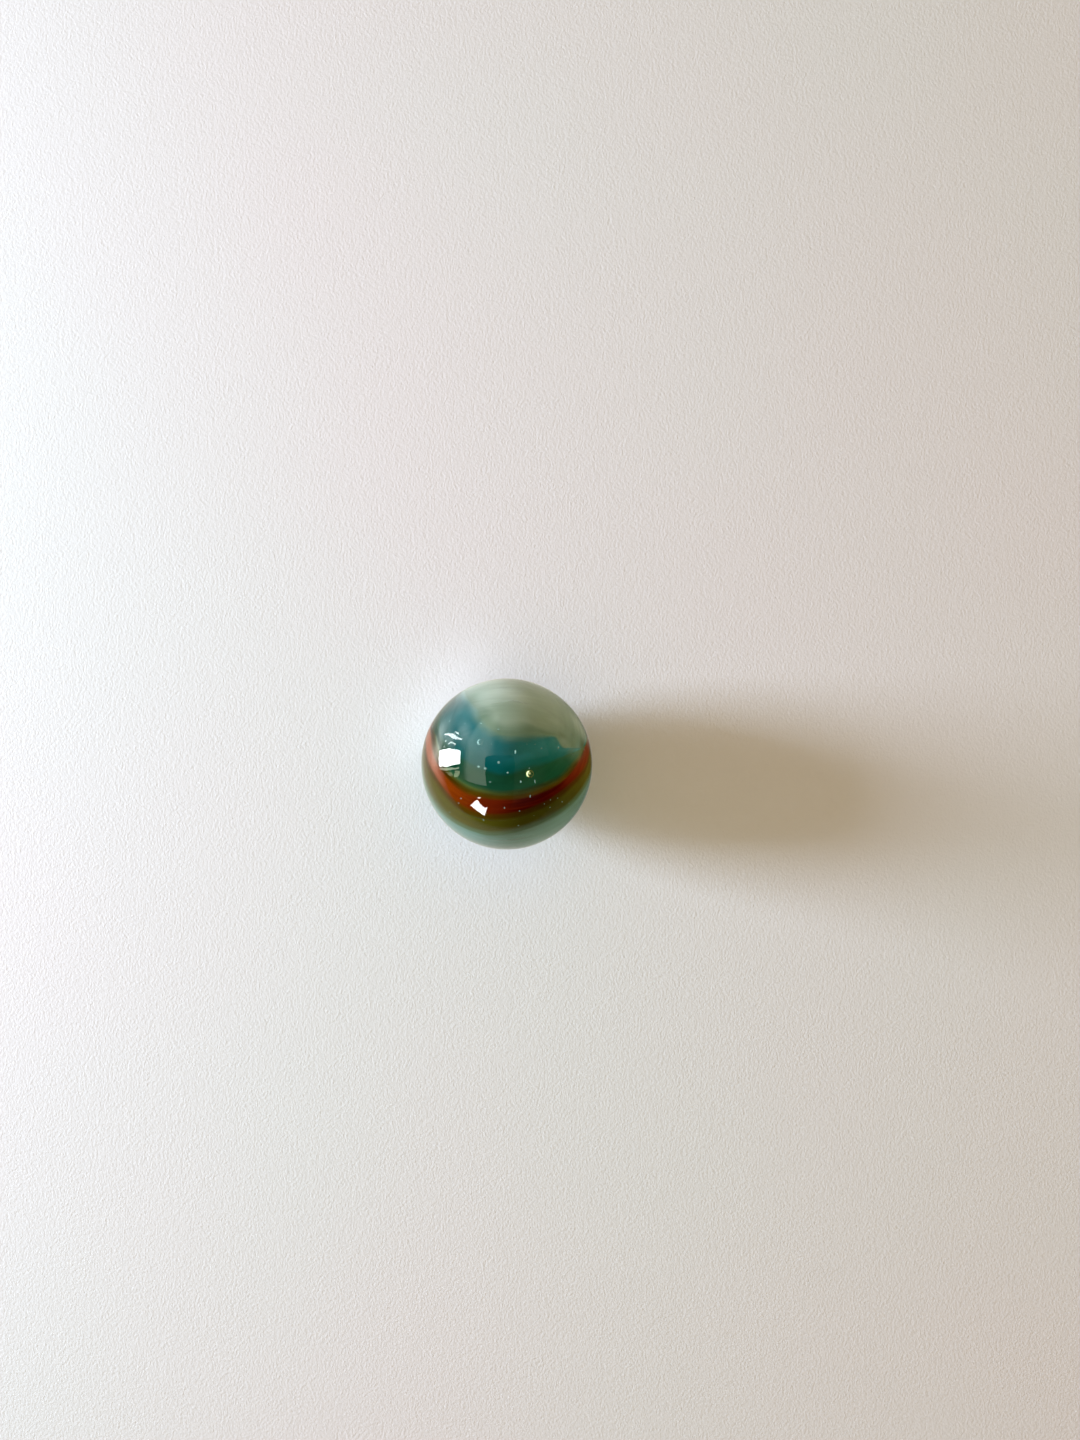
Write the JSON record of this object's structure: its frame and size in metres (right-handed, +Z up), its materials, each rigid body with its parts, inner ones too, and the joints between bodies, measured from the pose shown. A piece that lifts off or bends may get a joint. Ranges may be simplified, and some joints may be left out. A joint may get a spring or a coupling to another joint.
{
  "type": "glass marble",
  "caption": "Solid glass playing marble: a true ball of milky, teal and green glass with a red ribbon swirled through it, for rolling.",
  "frame": {"origin": "centre of the ball", "axes": "+Z up, through the blue-green middle of the face that shows the red ribbon; +Y towards the milky patch; +X to the right of that face. The shape is the same about every axis through the centre"},
  "size_m": [0.016, 0.016, 0.016],
  "materials": {
    "swirl_glass": "fire polished, glossy"
  },
  "bodies": {
    "root": {"marble": "swirl_glass"}
  },
  "joints": []
}
